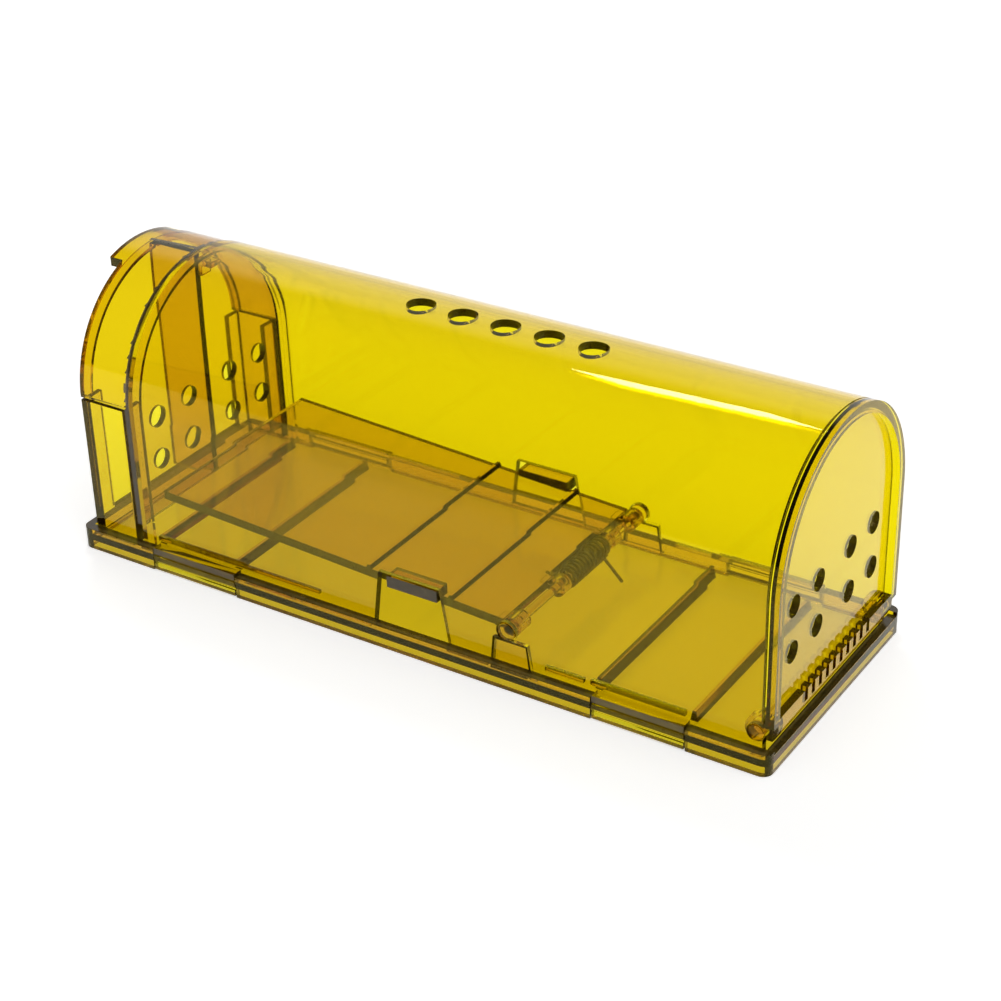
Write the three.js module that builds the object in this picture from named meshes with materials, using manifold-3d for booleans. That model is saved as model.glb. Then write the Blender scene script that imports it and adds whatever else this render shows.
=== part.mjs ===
// Live catch trap: a clear arched tunnel on a tray, with a drop door, a sprung pedal and a hinged rear door.
// Millimetres, +Z up. The entrance faces -X. The pieces are laid out from the middle of the tray's underside,
// and the whole is then moved so that the origin is the middle of its footprint, finger lip included.
import * as THREE from "three";
import { mergeVertices } from "three/addons/utils/BufferGeometryUtils.js";
import Module from "manifold-3d";

const wasm = await Module();
wasm.setup();

// Driving dimensions
const GAP = 0.3; // clearance kept between neighbouring pieces
const BURY = 0.5; // how far joined shapes run into each other
const ARC_STEPS = 40;
const HOLE_STEPS = 24;

const TRAY = {
  length: 170,
  width: 60.5,
  floor: 3,
  floorThickness: 1.6,
  rim: 5,
  rearRim: 4.2,
  rimWall: 2,
  corner: 2.2,
};
const TUNNEL = { front: -69, rear: 82.3, radius: 27.7, wall: 1.7, spring: 36.2 };
const BEAD = { wall: 2.5, length: 2.2 }; // the thicker edge of the tunnel's mouth and of the hood
const TAB = { height: 5.6, spans: [[-64.5, -41.7], [46.2, 67.2]] };
const RIB = { foot: 1.9, crest: 0.7, halfSpan: 23.5 };
const RIB_TOPS = [[-66.5, 5.3], [-45.5, 5.3], [44.8, 5.8], [66, 5.3]];
const PIVOT = { x: 25.4, z: 11.9, headRadius: 2, rodRadius: 0.9 };
const VENT = { radius: 3.1, count: 5, first: -11.2, pitch: 10.2 };
const PORTHOLE = { radius: 2.35, rows: [20.9, 31.1], columns: [-17.7, -7.1, 7.1, 17.7] };
const DOOR = { front: -83, panelFront: -70.7, panelRear: -69.3, radius: 27.3, hoodWall: 1.7, bottom: 8.4 };
const LIP = { reach: 3.5, halfWidth: 9.5, thickness: 2 };
const FRAME = { front: -82.7, rear: -71, cheek: 2.5, reach: 21.4, flange: 1.3, sillTop: 7.5, flangeBottom: 6.3 };
const PEDAL = { front: -63.6, rear: 23.4, halfWidth: 24.7, thickness: 2, slopeDegrees: 3.05 };
const EAR = { front: -3.2, rear: 9.1, bottom: 13.6, top: 16.3, reach: 27.9 };
const SPRING = { radius: 2, wire: 0.35, from: -3.5, to: 10.8, turns: 12, leg: 5 };
const REAR = { front: 82.6, rear: 84.6, panelFront: 81.4, panelRear: 83, rim: 2.4, bottom: 5.3, pocket: 10.8 };
const HINGE = { x: 80.8, z: 7.8, pinRadius: 1.65, bossRadius: 2.9, sweep: 3.6, legBottom: 9.4 };

const INNER_RADIUS = TUNNEL.radius - TUNNEL.wall;
const CROWN = TUNNEL.spring + TUNNEL.radius;
const SIDES = [-1, 1]; // -1 is the near side, 1 the far side

// Solids: every shape is a three.js geometry turned into a manifold solid.
function solid(geometry) {
  geometry.deleteAttribute("normal");
  geometry.deleteAttribute("uv");
  const merged = mergeVertices(geometry, 1e-4);
  return new wasm.Manifold(
    new wasm.Mesh({
      numProp: 3,
      vertProperties: new Float32Array(merged.attributes.position.array),
      triVerts: new Uint32Array(merged.index.array),
    }),
  );
}

function join(...pieces) {
  return pieces.reduce((whole, piece) => whole.add(piece));
}

function cut(body, ...tools) {
  return tools.reduce((rest, tool) => rest.subtract(tool), body);
}

function box(x, y, z) {
  const geometry = new THREE.BoxGeometry(x[1] - x[0], y[1] - y[0], z[1] - z[0]);
  geometry.translate((x[0] + x[1]) / 2, (y[0] + y[1]) / 2, (z[0] + z[1]) / 2);
  return solid(geometry);
}

// A box on one side of the middle plane: side -1 or 1, y measured outwards.
function sideBox(side, x, y, z) {
  return box(x, side > 0 ? y : [-y[1], -y[0]], z);
}

function extruded(shape, depth) {
  return new THREE.ExtrudeGeometry(shape, { depth, bevelEnabled: false, curveSegments: ARC_STEPS });
}

// A shape drawn in Y and Z, run along X.
function alongX(shape, from, to) {
  const basis = new THREE.Matrix4().makeBasis(
    new THREE.Vector3(0, 1, 0),
    new THREE.Vector3(0, 0, 1),
    new THREE.Vector3(1, 0, 0),
  );
  return solid(extruded(shape, to - from).applyMatrix4(basis).translate(from, 0, 0));
}

// A shape drawn in X and Z, run along Y.
function alongY(shape, from, to) {
  const basis = new THREE.Matrix4().makeBasis(
    new THREE.Vector3(1, 0, 0),
    new THREE.Vector3(0, 0, 1),
    new THREE.Vector3(0, -1, 0),
  );
  return solid(extruded(shape, to - from).applyMatrix4(basis).translate(0, to, 0));
}

function sideAlongY(side, shape, y) {
  return side > 0 ? alongY(shape, y[0], y[1]) : alongY(shape, -y[1], -y[0]);
}

function polygon(points) {
  return new THREE.Shape(points.map(([u, v]) => new THREE.Vector2(u, v)));
}

// Upright walls with a half-round top.
function archShape(radius, bottom) {
  const shape = new THREE.Shape();
  shape.moveTo(-radius, bottom);
  shape.lineTo(radius, bottom);
  shape.lineTo(radius, TUNNEL.spring);
  shape.absarc(0, TUNNEL.spring, radius, 0, Math.PI);
  shape.closePath();
  return shape;
}

function roundBar(radius, length, steps = HOLE_STEPS) {
  return new THREE.CylinderGeometry(radius, radius, length, steps);
}

function barAlongX(radius, x, y, z) {
  const geometry = roundBar(radius, x[1] - x[0]).rotateZ(Math.PI / 2);
  return solid(geometry.translate((x[0] + x[1]) / 2, y, z));
}

function barAlongY(radius, x, y, z) {
  return solid(roundBar(radius, y[1] - y[0]).translate(x, (y[0] + y[1]) / 2, z));
}

function sideBarAlongY(side, radius, x, y, z) {
  return barAlongY(radius, x, side > 0 ? y : [-y[1], -y[0]], z);
}

function portholes(x) {
  return PORTHOLE.columns.flatMap((y) => PORTHOLE.rows.map((z) => barAlongX(PORTHOLE.radius, x, y, z)));
}

// The tray: a floor, a rim that is lower behind the rear door, cross ribs and the two pivot posts.
function roundedPlate(length, width, corner, from, to) {
  const x = length / 2;
  const y = width / 2;
  const shape = new THREE.Shape();
  shape.absarc(x - corner, y - corner, corner, 0, Math.PI / 2);
  shape.absarc(-x + corner, y - corner, corner, Math.PI / 2, Math.PI);
  shape.absarc(-x + corner, -y + corner, corner, Math.PI, 1.5 * Math.PI);
  shape.absarc(x - corner, -y + corner, corner, 1.5 * Math.PI, 2 * Math.PI);
  shape.closePath();
  const depth = to - from;
  const geometry = new THREE.ExtrudeGeometry(shape, { depth, bevelEnabled: false, curveSegments: 6 });
  return solid(geometry.translate(0, 0, from));
}

// The tapered section of a floor or pedal rib.
function ridgeShape(x, bottom, top) {
  return polygon([
    [x - RIB.foot / 2, bottom],
    [x + RIB.foot / 2, bottom],
    [x + RIB.crest / 2, top],
    [x - RIB.crest / 2, top],
  ]);
}

function pivotPostShape() {
  return polygon([
    [22, TRAY.floor - BURY],
    [30.8, TRAY.floor - BURY],
    [29.9, 9.5],
    [22.6, 9.5],
  ]);
}

function baseTray() {
  const innerLength = TRAY.length - 2 * TRAY.rimWall;
  const innerWidth = TRAY.width - 2 * TRAY.rimWall - BURY;
  const notchInner = innerWidth / 2;
  const outside = TRAY.width / 2 + 1;
  const inside = [-innerLength / 2, innerLength / 2];
  let tray = cut(
    roundedPlate(TRAY.length, TRAY.width, TRAY.corner, 0, TRAY.rim),
    box(inside, [-notchInner, notchInner], [-1, TRAY.floor - TRAY.floorThickness]),
    box(inside, [-notchInner, notchInner], [TRAY.floor, TRAY.rim + 1]),
    box([innerLength / 2 - BURY, TRAY.length], [-notchInner, notchInner], [TRAY.rearRim, TRAY.rim + 1]),
  );
  for (const side of SIDES) {
    for (const span of TAB.spans) {
      tray = cut(tray, sideBox(side, span, [notchInner, outside], [-1, TRAY.rim + 1]));
    }
    tray = join(
      tray,
      sideAlongY(side, pivotPostShape(), [INNER_RADIUS + 0.1, TUNNEL.radius - 0.1]),
    );
  }
  for (const [x, top] of RIB_TOPS) {
    tray = join(tray, alongY(ridgeShape(x, TRAY.floor - BURY, top), -RIB.halfSpan, RIB.halfSpan));
  }
  return tray;
}

// The housing: an arched tunnel with vents, windows, pivot notches, latch slots and side tabs.
function earWindowShape(bottom) {
  return polygon([
    [-7.3, bottom],
    [11.8, bottom],
    [9.5, EAR.top + GAP],
    [-5.4, EAR.top + GAP],
  ]);
}

function pivotNotchShape(bottom) {
  return polygon([
    [21.4, bottom],
    [31.4, bottom],
    [30.3, 10],
    [22.2, 10],
  ]);
}

function sideTab(side, span) {
  const x = [span[0] + GAP, span[1] - GAP];
  const inner = TRAY.width / 2 - TRAY.rimWall - BURY / 2 + GAP;
  const outer = TRAY.width / 2;
  const grooves = [1.7, 3.6].map((z) => sideBox(side, x, [outer - 0.35, outer + 1], [z, z + 0.5]));
  const block = join(
    sideBox(side, x, [inner, outer], [GAP, TAB.height]),
    sideBox(side, x, [TUNNEL.radius - BURY, inner + BURY], [TRAY.floor + GAP, TAB.height]),
  );
  return cut(block, ...grooves);
}

function latchSlots(side) {
  const wall = [INNER_RADIUS - 1, TUNNEL.radius + 1];
  return join(
    sideBox(side, [-64.6, -41.2], wall, [6, 7.2]),
    sideBox(side, [-41.3, -21.1], wall, [6, 6.8]),
    sideBox(side, [34.4, 43.2], wall, [5.8, 6.8]),
    sideBox(side, [44.8, 65.8], wall, [6, 7.2]),
  );
}

function housingShell() {
  const bottom = TRAY.floor + GAP;
  const below = bottom - 1;
  const through = [-TUNNEL.radius - 1, TUNNEL.radius + 1];
  const mouth = TUNNEL.front + BEAD.length;
  let shell = cut(
    alongX(archShape(TUNNEL.radius, bottom), TUNNEL.front, TUNNEL.rear),
    alongX(archShape(INNER_RADIUS, below), mouth, TUNNEL.rear + 1),
    alongX(archShape(TUNNEL.radius - BEAD.wall, below), TUNNEL.front - 1, mouth + 1),
    alongY(earWindowShape(below), through[0], through[1]),
    alongY(pivotNotchShape(below), through[0], through[1]),
    barAlongY(PIVOT.headRadius + GAP, PIVOT.x, through, PIVOT.z),
    barAlongY(HINGE.pinRadius + GAP, HINGE.x, through, HINGE.z),
  );
  for (let i = 0; i < VENT.count; i += 1) {
    const hole = roundBar(VENT.radius, 12).rotateX(Math.PI / 2);
    shell = cut(shell, solid(hole.translate(VENT.first + i * VENT.pitch, 0, CROWN)));
  }
  for (const side of SIDES) {
    shell = join(shell, ...TAB.spans.map((span) => sideTab(side, span)));
    shell = cut(shell, latchSlots(side));
  }
  return shell;
}

// The fixed entrance frame: two cheeks with inward flanges at both edges, tied by a sill.
function entranceFrame() {
  const flangeX = [
    [FRAME.front, FRAME.front + FRAME.flange],
    [FRAME.rear - FRAME.flange, FRAME.rear],
  ];
  const parts = [
    box(flangeX[0], [-TUNNEL.radius, TUNNEL.radius], [TRAY.floor + GAP, FRAME.sillTop]),
  ];
  for (const side of SIDES) {
    const cheekY = [TUNNEL.radius - FRAME.cheek, TUNNEL.radius];
    const flangeY = [FRAME.reach, cheekY[0] + BURY];
    parts.push(sideBox(side, [FRAME.front, FRAME.rear], cheekY, [TRAY.floor + GAP, TUNNEL.spring]));
    for (const x of flangeX) {
      parts.push(sideBox(side, x, flangeY, [FRAME.flangeBottom, TUNNEL.spring]));
    }
  }
  return join(...parts);
}

// A half-round ring: the crown of an arch, cut off level at its bottom.
function crownRing(radius, wall, x, bottom) {
  const below = TUNNEL.spring - 1;
  const ring = cut(
    alongX(archShape(radius, below), x[0], x[1]),
    alongX(archShape(radius - wall, below - 1), x[0] - 1, x[1] + 1),
  );
  return ring.intersect(box(x, [-radius, radius], [bottom, TUNNEL.spring + radius + 1]));
}

// The drop door: panel, hood, centre fin and finger lip in one piece.
function fingerLip() {
  const x = [DOOR.front - LIP.reach, DOOR.front + BURY];
  const ring = crownRing(DOOR.radius, LIP.thickness, x, TUNNEL.spring);
  return ring.intersect(box(x, [-LIP.halfWidth, LIP.halfWidth], [TUNNEL.spring, CROWN]));
}

function frontDoor() {
  const fin = { front: -82.6, bottom: 8.1, halfThickness: 0.8 };
  const hoodX = [DOOR.front, DOOR.panelFront + BURY];
  const finTop = TUNNEL.spring + DOOR.radius - DOOR.hoodWall + BURY;
  return cut(
    join(
      crownRing(DOOR.radius, DOOR.hoodWall, hoodX, TUNNEL.spring + GAP),
      crownRing(DOOR.radius, BEAD.wall, [DOOR.front, DOOR.front + BEAD.length], TUNNEL.spring + GAP),
      alongX(archShape(DOOR.radius, DOOR.bottom), DOOR.panelFront, DOOR.panelRear),
      box(
        [fin.front, DOOR.panelFront + BURY],
        [-fin.halfThickness, fin.halfThickness],
        [fin.bottom, finTop],
      ),
      fingerLip(),
    ),
    ...portholes([DOOR.panelFront - 1, DOOR.panelRear + 1]),
  );
}

function crownCatch() {
  const ceiling = CROWN - BEAD.wall - GAP;
  return join(
    box([-68.4, -64.7], [-1.6, 1.6], [ceiling - 1.2, ceiling]),
    box([-68.4, -67.4], [-1.6, 1.6], [ceiling - 3.4, ceiling - 0.8]),
  );
}

// The pedal: a sloping plate with two raised cross ribs, an ear in each window and four rod lugs.
function pedalTop(x) {
  return PIVOT.z + 1.2 - Math.tan(THREE.MathUtils.degToRad(PEDAL.slopeDegrees)) * (x - PIVOT.x);
}

function crossRib(x) {
  const height = 0.8;
  const ridge = ridgeShape(x, pedalTop(x) - BURY, pedalTop(x) + height);
  return alongY(ridge, -PEDAL.halfWidth, PEDAL.halfWidth);
}

function rodLug(y) {
  return join(
    barAlongY(PIVOT.rodRadius + 1.2, PIVOT.x, y, PIVOT.z),
    box([PEDAL.rear - 2, PIVOT.x], y, [PIVOT.z - 0.8, PIVOT.z + 1.1]),
  );
}

function pedalPlate() {
  const { front, rear, halfWidth, thickness } = PEDAL;
  const plate = alongY(
    polygon([
      [front, pedalTop(front) - thickness],
      [rear, pedalTop(rear) - thickness],
      [rear, pedalTop(rear)],
      [front, pedalTop(front)],
    ]),
    -halfWidth,
    halfWidth,
  );
  const ears = SIDES.map((side) =>
    sideBox(side, [EAR.front, EAR.rear], [halfWidth - 1.5, EAR.reach], [EAR.bottom, EAR.top]),
  );
  const lugSpans = [
    [-24.7, -20.7],
    [-7.8, -5],
    [12.4, 15.2],
    [20.7, 24.7],
  ];
  const springPocket = box([22.2, PIVOT.x + 5], [SPRING.from - 1, SPRING.to + 1], [0, 30]);
  return cut(
    join(plate, crossRib(-9.3), crossRib(10.8), ...ears, ...lugSpans.map(rodLug)),
    barAlongY(PIVOT.rodRadius + GAP, PIVOT.x, [-halfWidth - 1, halfWidth + 1], PIVOT.z),
    springPocket,
  );
}

// The rod, thin in the middle with a thick head in each wall.
function pivotRod() {
  const end = TUNNEL.radius;
  const shoulder = INNER_RADIUS;
  const profile = [
    [0, -end],
    [PIVOT.headRadius, -end],
    [PIVOT.headRadius, -shoulder],
    [PIVOT.rodRadius, -shoulder],
    [PIVOT.rodRadius, shoulder],
    [PIVOT.headRadius, shoulder],
    [PIVOT.headRadius, end],
    [0, end],
  ].map(([r, y]) => new THREE.Vector2(r, y));
  return solid(new THREE.LatheGeometry(profile, HOLE_STEPS).translate(PIVOT.x, 0, PIVOT.z));
}

// The torsion spring: a leg under the pedal, the coil round the rod, and a leg towards the floor.
class TorsionSpring extends THREE.Curve {
  getPoint(t, target = new THREE.Vector3()) {
    const legShare = 0.06;
    const coilTurn = 2 * Math.PI * SPRING.turns;
    const along = THREE.MathUtils.clamp((t - legShare) / (1 - 2 * legShare), 0, 1);
    const angle = coilTurn * along - Math.PI / 2;
    const radial = new THREE.Vector3(Math.cos(angle), 0, Math.sin(angle)).multiplyScalar(SPRING.radius);
    target.set(PIVOT.x, THREE.MathUtils.lerp(SPRING.from, SPRING.to, along), PIVOT.z).add(radial);
    const before = Math.max(legShare - t, 0) / legShare;
    const after = Math.max(t - (1 - legShare), 0) / legShare;
    target.x += SPRING.leg * (after - before);
    target.z += before - 5 * after;
    return target;
  }
}

function returnSpring() {
  const section = new THREE.Shape();
  section.absarc(0, 0, SPRING.wire, 0, 2 * Math.PI);
  const stepsPerTurn = 14;
  const geometry = new THREE.ExtrudeGeometry(section, {
    extrudePath: new TorsionSpring(),
    steps: SPRING.turns * stepsPerTurn,
    curveSegments: 4,
  });
  return solid(geometry);
}

// The rear door: a recessed panel in a raised rim, a comb of slots and two hinge bosses.
function combSlots() {
  const count = 10;
  const pitch = 3.1;
  return Array.from({ length: count }, (_, i) => {
    const y = (i - (count - 1) / 2) * pitch;
    return box([REAR.panelRear, REAR.rear + 1], [y - 0.7, y + 0.7], [8, REAR.pocket + BURY]);
  });
}

function rearDoor() {
  const plugRadius = INNER_RADIUS - GAP;
  const pocketRadius = TUNNEL.radius - REAR.rim;
  const below = [0, HINGE.z];
  const width = [-TUNNEL.radius - 1, TUNNEL.radius + 1];
  const rounding = cut(
    box([HINGE.x, REAR.rear + 1], width, below),
    barAlongY(HINGE.sweep, HINGE.x, width, HINGE.z),
  );
  const legEnds = SIDES.map((side) =>
    sideBox(side, [REAR.panelFront - 1, REAR.rear + 1], [plugRadius, TUNNEL.radius + 1], [0, HINGE.legBottom]),
  );
  const bosses = SIDES.map((side) =>
    sideBarAlongY(side, HINGE.bossRadius, HINGE.x, [plugRadius - 2.4, plugRadius], HINGE.z),
  );
  const bores = SIDES.map((side) =>
    sideBarAlongY(side, HINGE.pinRadius + GAP, HINGE.x, [plugRadius - 3, plugRadius + 1], HINGE.z),
  );
  const body = cut(
    alongX(archShape(TUNNEL.radius, REAR.bottom), REAR.front, REAR.rear),
    alongX(archShape(pocketRadius, REAR.pocket), REAR.panelRear, REAR.rear + 1),
    ...legEnds,
  );
  const plug = alongX(archShape(plugRadius, REAR.bottom), REAR.panelFront, REAR.front + 0.2);
  return cut(
    join(body, plug, ...bosses),
    rounding,
    ...bores,
    ...combSlots(),
    ...portholes([REAR.panelFront - 1, REAR.rear + 1]),
  );
}

function rearHingePin(side) {
  return sideBarAlongY(side, HINGE.pinRadius, HINGE.x, [INNER_RADIUS - 2.6, TUNNEL.radius], HINGE.z);
}

// Materials
function clearPlastic(color) {
  return new THREE.MeshStandardMaterial({
    color,
    roughness: 0.12,
    metalness: 0,
    transparent: true,
    opacity: 0.6,
  });
}

const amber = clearPlastic(0xe6d21e);
const goldenAmber = clearPlastic(0xd9b41c);
const steel = new THREE.MeshStandardMaterial({ color: 0x6b5a3c, roughness: 0.35, metalness: 0.9 });

// The assembly
function piece(name, body, material) {
  const source = body.getMesh();
  const geometry = new THREE.BufferGeometry();
  geometry.setAttribute("position", new THREE.BufferAttribute(source.vertProperties, 3));
  geometry.setIndex(new THREE.BufferAttribute(source.triVerts, 1));
  const flat = geometry.toNonIndexed();
  flat.computeVertexNormals();
  const mesh = new THREE.Mesh(flat, material);
  mesh.name = name;
  return mesh;
}

const trap = new THREE.Group();
trap.add(
  piece("base_tray", baseTray(), goldenAmber),
  piece("housing_shell", housingShell(), amber),
  piece("entrance_frame", entranceFrame(), amber),
  piece("front_door", frontDoor(), amber),
  piece("crown_catch", crownCatch(), goldenAmber),
  piece("pedal_plate", pedalPlate(), goldenAmber),
  piece("pivot_rod", pivotRod(), goldenAmber),
  piece("return_spring", returnSpring(), steel),
  piece("rear_door", rearDoor(), amber),
  piece("rear_hinge_pin_near", rearHingePin(-1), goldenAmber),
  piece("rear_hinge_pin_far", rearHingePin(1), goldenAmber),
);

// The tray reaches TRAY.length / 2 both ways, and the lip reaches further than the tray in front.
trap.position.x = -(DOOR.front - LIP.reach + TRAY.length / 2) / 2;

export default trap;
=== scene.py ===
"""Looks of the live catch trap: clear yellow mouldings, a steel spring, studio light and camera."""

import math

import bpy
from mathutils import Matrix, Vector
from mathutils.bvhtree import BVHTree

MM = 0.001
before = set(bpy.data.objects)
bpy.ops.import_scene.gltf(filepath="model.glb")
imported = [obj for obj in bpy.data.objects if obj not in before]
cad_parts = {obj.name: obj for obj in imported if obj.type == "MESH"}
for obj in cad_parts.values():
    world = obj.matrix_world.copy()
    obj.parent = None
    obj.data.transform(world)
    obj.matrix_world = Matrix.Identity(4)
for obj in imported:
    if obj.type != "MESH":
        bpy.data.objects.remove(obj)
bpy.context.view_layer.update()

CLEAR_NODES = ("housing_shell", "entrance_frame", "rear_door")
DOOR_NODES = ("front_door",)
GOLDEN_NODES = ("base_tray", "pedal_plate", "crown_catch")
PIN_NODES = ("pivot_rod", "rear_hinge_pin_near", "rear_hinge_pin_far")

# Absorption of the tinted plastics, per metre, for red, green and blue. DENSITY_MARGIN keeps the volume's
# colour above 0 in the channel that absorbs most.
YELLOW_TINT = (60.0, 126.0, 2200.0)
DOOR_TINT = (130.0, 290.0, 3000.0)
GOLDEN_TINT = (95.0, 215.0, 2200.0)
DENSITY_MARGIN = 1.02
PLASTIC_IOR = 1.5
SHEEN_TINT = (1.0, 0.86, 0.12, 1)

# A face with more plastic than EDGE_DEPTH behind it is the edge of a sheet, and gets painted shade: a dark
# material in place of the darkness that light gives a clear sheet seen edge-on. The depth is measured at
# the face's middle and at CORNER_SHARE of the way to each corner.
EDGE_DEPTH = 4 * MM
CORNER_SHARE = 0.7
RAY_START = 0.01 * MM

# Finish of the mouldings' geometry.
ROUNDING = 0.22 * MM
ROUNDING_ANGLE = 35
FLAT_ANGLE = 0.4
WELD_DISTANCE = 0.001 * MM

# The camera: its target in the middle of the trap, and the angles and distance of the view.
TARGET = Vector((5.49, 3.11, 20.81)) * MM
AZIMUTH, ELEVATION, ROLL = 33.321, 29.813, -1.592
DISTANCE = 476.6 * MM
LENS, SENSOR = 81.33, 36.0

# The light: a broad patch of sky overhead, a pale wall behind, a floor that glows a little, and the rest of
# the room much dimmer. Angles are in degrees.
SKY_LIGHT = (0.35, -0.2, 0.91)
SKY_HALF_ANGLE = 36
SKY_LEVEL = 1.2
ROOM_LEVEL = 0.12
WALL_LIGHT = (-0.48, 0.73, 0.2)
WALL_HALF_ANGLE = 32
WALL_LEVEL = 0.8
PATCH_SOFTNESS = 6
FLOOR_GLOW = 0.54
FLOOR_HALF_SIDE = 4.0
FLOOR_DROP = 0.05 * MM

# The strip light that streaks the crown: the place it aims at, its offset from there, size and watts.
STREAK_PLACE = Vector((84, -6.7, 62.7)) * MM
STREAK_OFFSET = Vector((-0.345, 0.328, 0.62))
STREAK_SIZE = (0.14, 0.05)
STREAK_POWER = 0.55


# Materials


def shader(name):
    """A new material with no nodes yet, and its nodes and links."""
    material = bpy.data.materials.new(name)
    material.use_nodes = True
    nodes = material.node_tree.nodes
    nodes.clear()
    return material, nodes, material.node_tree.links


def noise(nodes, links, scale, detail):
    """A noise pattern fixed to the piece, as a value from 0 to 1."""
    coordinates = nodes.new("ShaderNodeTexCoord")
    made = nodes.new("ShaderNodeTexNoise")
    made.inputs["Scale"].default_value = scale
    made.inputs["Detail"].default_value = detail
    links.new(coordinates.outputs["Object"], made.inputs["Vector"])
    return made.outputs["Fac"]


def spread(nodes, links, source, low, high):
    """A pattern's 0 to 1 turned into low to high."""
    made = nodes.new("ShaderNodeMapRange")
    made.inputs["To Min"].default_value = low
    made.inputs["To Max"].default_value = high
    links.new(source, made.inputs["Value"])
    return made.outputs["Result"]


def clear_plastic(name, tint):
    """Tinted clear moulding: refracts, darkens with thickness, and is faintly rippled and scuffed."""
    material, nodes, links = shader(name)
    out = nodes.new("ShaderNodeOutputMaterial")
    surface = nodes.new("ShaderNodeBsdfPrincipled")
    surface.inputs["Base Color"].default_value = (1, 1, 1, 1)
    surface.inputs["Transmission Weight"].default_value = 1
    surface.inputs["IOR"].default_value = PLASTIC_IOR
    surface.inputs["Specular Tint"].default_value = SHEEN_TINT
    scuffs = noise(nodes, links, 300, 4)
    links.new(spread(nodes, links, scuffs, 0.0, 0.06), surface.inputs["Roughness"])
    ripple = noise(nodes, links, 90, 1)
    bump = nodes.new("ShaderNodeBump")
    bump.inputs["Strength"].default_value = 0.05
    bump.inputs["Distance"].default_value = 0.2 * MM
    links.new(ripple, bump.inputs["Height"])
    links.new(bump.outputs["Normal"], surface.inputs["Normal"])
    inside = nodes.new("ShaderNodeVolumeAbsorption")
    density = DENSITY_MARGIN * max(tint)
    inside.inputs["Color"].default_value = [1 - c / density for c in tint] + [1]
    inside.inputs["Density"].default_value = density
    links.new(surface.outputs["BSDF"], out.inputs["Surface"])
    links.new(inside.outputs["Volume"], out.inputs["Volume"])
    return material


def painted_shade_edge_plastic():
    """The edges of the sheets: painted shade, dark olive in place of the darkness light gives them, with a
    little light coming through.
    """
    material, nodes, links = shader("clear_yellow_edge_painted_shade")
    out = nodes.new("ShaderNodeOutputMaterial")
    surface = nodes.new("ShaderNodeBsdfPrincipled")
    surface.inputs["Transmission Weight"].default_value = 0.3
    surface.inputs["IOR"].default_value = PLASTIC_IOR
    grain = noise(nodes, links, 500, 4)
    links.new(spread(nodes, links, grain, 0.1, 0.35), surface.inputs["Roughness"])
    # Painted shade: two dark olives stand in for the darkness of the sheets' edges, mixed by the grain.
    ramp = nodes.new("ShaderNodeValToRGB")
    ramp.color_ramp.elements[0].color = (0.02, 0.013, 0.002, 1)
    ramp.color_ramp.elements[1].color = (0.13, 0.085, 0.01, 1)
    links.new(grain, ramp.inputs["Fac"])
    links.new(ramp.outputs["Color"], surface.inputs["Base Color"])
    links.new(surface.outputs["BSDF"], out.inputs["Surface"])
    return material


def dark_steel():
    """Drawn spring wire: dark metal with a fine uneven grain."""
    material, nodes, links = shader("drawn_steel")
    out = nodes.new("ShaderNodeOutputMaterial")
    surface = nodes.new("ShaderNodeBsdfPrincipled")
    surface.inputs["Metallic"].default_value = 1
    grain = noise(nodes, links, 900, 3)
    links.new(spread(nodes, links, grain, 0.25, 0.45), surface.inputs["Roughness"])
    ramp = nodes.new("ShaderNodeValToRGB")
    ramp.color_ramp.elements[0].color = (0.10, 0.08, 0.06, 1)
    ramp.color_ramp.elements[1].color = (0.26, 0.22, 0.18, 1)
    links.new(grain, ramp.inputs["Fac"])
    links.new(ramp.outputs["Color"], surface.inputs["Base Color"])
    links.new(surface.outputs["BSDF"], out.inputs["Surface"])
    return material


def floor_paint():
    """The pale floor, which glows a little so that it stays pale under the trap."""
    material, nodes, links = shader("pale_floor")
    out = nodes.new("ShaderNodeOutputMaterial")
    surface = nodes.new("ShaderNodeBsdfPrincipled")
    surface.inputs["Base Color"].default_value = (0.9, 0.9, 0.9, 1)
    surface.inputs["Roughness"].default_value = 0.8
    surface.inputs["Emission Color"].default_value = (1, 1, 1, 1)
    surface.inputs["Emission Strength"].default_value = FLOOR_GLOW
    links.new(surface.outputs["BSDF"], out.inputs["Surface"])
    return material


# Pieces


def finish(node, material, rounding):
    """Gives a CAD node its material, smooth curved faces and, where rounding is over 0, rounded edges."""
    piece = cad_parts[node]
    piece.data.materials.clear()
    piece.data.materials.append(material)
    for face in piece.data.polygons:
        face.use_smooth = True
    weld = piece.modifiers.new("weld", "WELD")
    weld.merge_threshold = WELD_DISTANCE
    flat = piece.modifiers.new("flat_faces", "DECIMATE")
    flat.decimate_type = "DISSOLVE"
    flat.angle_limit = math.radians(FLAT_ANGLE)
    flat.delimit = {"MATERIAL"}
    if rounding:
        bevel = piece.modifiers.new("edges", "BEVEL")
        bevel.width = rounding
        bevel.segments = 2
        bevel.limit_method = "ANGLE"
        bevel.angle_limit = math.radians(ROUNDING_ANGLE)
        bevel.harden_normals = True
    normals = piece.modifiers.new("normals", "WEIGHTED_NORMAL")
    normals.keep_sharp = True
    normals.weight = 100


def least_depth(tree, mesh, face):
    """The least way through the plastic behind a face, from its middle and from near each corner."""
    inwards = -face.normal
    corners = [mesh.vertices[i].co for i in face.vertices]
    starts = [face.center] + [face.center.lerp(corner, CORNER_SHARE) for corner in corners]
    depths = [tree.ray_cast(start + RAY_START * inwards, inwards)[3] for start in starts]
    return min((depth for depth in depths if depth is not None), default=0)


def paint_shade_on_edges(node, material):
    """Gives the painted-shade edge material to the faces that have a long way through the plastic behind
    them.
    """
    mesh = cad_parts[node].data
    mesh.materials.append(material)
    tree = BVHTree.FromPolygons([v.co for v in mesh.vertices], [p.vertices for p in mesh.polygons])
    for face in mesh.polygons:
        if least_depth(tree, mesh, face) > EDGE_DEPTH:
            face.material_index = 1


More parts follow.
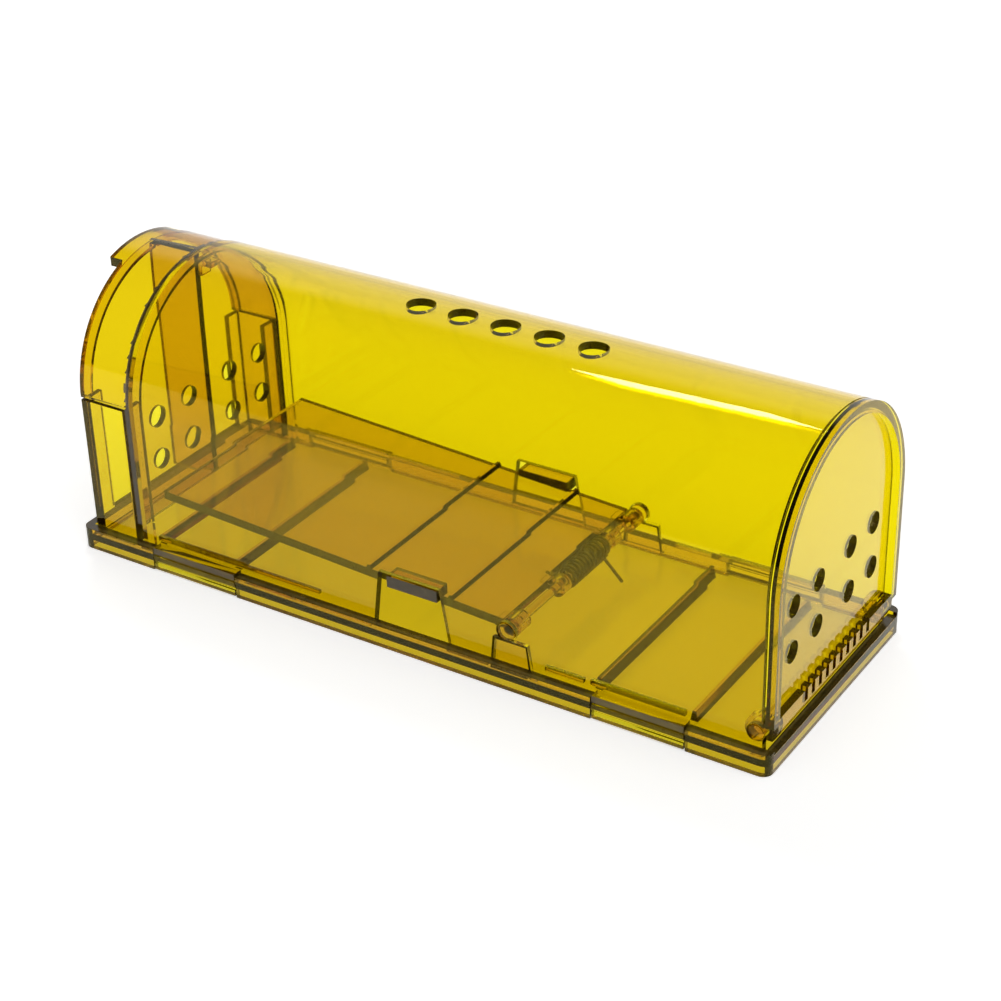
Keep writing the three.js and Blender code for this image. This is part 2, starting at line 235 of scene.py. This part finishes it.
def dress_pieces():
    yellow = clear_plastic("clear_yellow_plastic", YELLOW_TINT)
    door = clear_plastic("clear_door_plastic", DOOR_TINT)
    golden = clear_plastic("clear_golden_plastic", GOLDEN_TINT)
    edge = painted_shade_edge_plastic()
    for node in CLEAR_NODES:
        finish(node, yellow, ROUNDING)
    for node in DOOR_NODES:
        finish(node, door, ROUNDING)
    for node in GOLDEN_NODES + PIN_NODES:
        finish(node, golden, ROUNDING)
    # Painted shade on the edges of the sheets.
    for node in CLEAR_NODES + DOOR_NODES + GOLDEN_NODES:
        paint_shade_on_edges(node, edge)
    finish("return_spring", dark_steel(), 0)


# Stage, light and camera


def stage_floor():
    side = FLOOR_HALF_SIDE
    mesh = bpy.data.meshes.new("floor")
    corners = [(-side, -side, 0), (side, -side, 0), (side, side, 0), (-side, side, 0)]
    mesh.from_pydata(corners, [], [(0, 1, 2, 3)])
    floor = bpy.data.objects.new("floor", mesh)
    mesh.materials.append(floor_paint())
    floor.location.z = -FLOOR_DROP
    bpy.context.scene.collection.objects.link(floor)


def soft_light(name, place, aim, size, power):
    light = bpy.data.lights.new(name, "AREA")
    light.shape = "RECTANGLE"
    light.size, light.size_y = size
    light.energy = power
    lamp = bpy.data.objects.new(name, light)
    lamp.location = place
    lamp.rotation_euler = (aim - place).to_track_quat("-Z", "Y").to_euler()
    bpy.context.scene.collection.objects.link(lamp)


def light_patch(nodes, links, direction, towards, half_angle, level):
    """A soft-edged round patch of light on the world, as a strength that is 0 outside it."""
    facing = nodes.new("ShaderNodeVectorMath")
    facing.operation = "DOT_PRODUCT"
    facing.inputs[1].default_value = Vector(towards).normalized()
    links.new(direction, facing.inputs[0])
    patch = nodes.new("ShaderNodeMapRange")
    patch.interpolation_type = "SMOOTHSTEP"
    patch.inputs["From Min"].default_value = math.cos(math.radians(half_angle + PATCH_SOFTNESS))
    patch.inputs["From Max"].default_value = math.cos(math.radians(half_angle - PATCH_SOFTNESS))
    patch.inputs["To Max"].default_value = level
    links.new(facing.outputs["Value"], patch.inputs["Value"])
    return patch.outputs["Result"]


def studio():
    """A dim room, a broad soft light overhead, a pale wall behind, and a strip that streaks the crown."""
    world = bpy.data.worlds.new("studio")
    world.use_nodes = True
    nodes, links = world.node_tree.nodes, world.node_tree.links
    direction = nodes.new("ShaderNodeTexCoord").outputs["Generated"]
    sky = light_patch(nodes, links, direction, SKY_LIGHT, SKY_HALF_ANGLE, SKY_LEVEL)
    wall = light_patch(nodes, links, direction, WALL_LIGHT, WALL_HALF_ANGLE, WALL_LEVEL)
    both = nodes.new("ShaderNodeMath")
    links.new(sky, both.inputs[0])
    links.new(wall, both.inputs[1])
    room = nodes.new("ShaderNodeMath")
    room.inputs[1].default_value = ROOM_LEVEL
    links.new(both.outputs["Value"], room.inputs[0])
    links.new(room.outputs["Value"], nodes["Background"].inputs["Strength"])
    nodes["Background"].inputs["Color"].default_value = (1, 1, 1, 1)
    bpy.context.scene.world = world
    soft_light("streak", STREAK_PLACE + STREAK_OFFSET, STREAK_PLACE, STREAK_SIZE, STREAK_POWER)


def camera():
    azimuth, elevation = math.radians(AZIMUTH), math.radians(ELEVATION)
    back = Vector(
        (
            math.sin(azimuth) * math.cos(elevation),
            -math.cos(azimuth) * math.cos(elevation),
            math.sin(elevation),
        )
    )
    data = bpy.data.cameras.new("camera")
    data.lens = LENS
    data.sensor_width = SENSOR
    view = bpy.data.objects.new("camera", data)
    view.location = TARGET + DISTANCE * back
    turn = back.to_track_quat("Z", "Y").to_matrix()
    roll = Matrix.Rotation(math.radians(ROLL), 3, "Z")
    view.rotation_euler = (turn @ roll).to_euler()
    bpy.context.scene.collection.objects.link(view)
    bpy.context.scene.camera = view


dress_pieces()
stage_floor()
studio()
camera()
scene = bpy.context.scene
scene.view_settings.view_transform = "Standard"
scene.cycles.max_bounces = 32
scene.cycles.transmission_bounces = 32
scene.cycles.glossy_bounces = 8
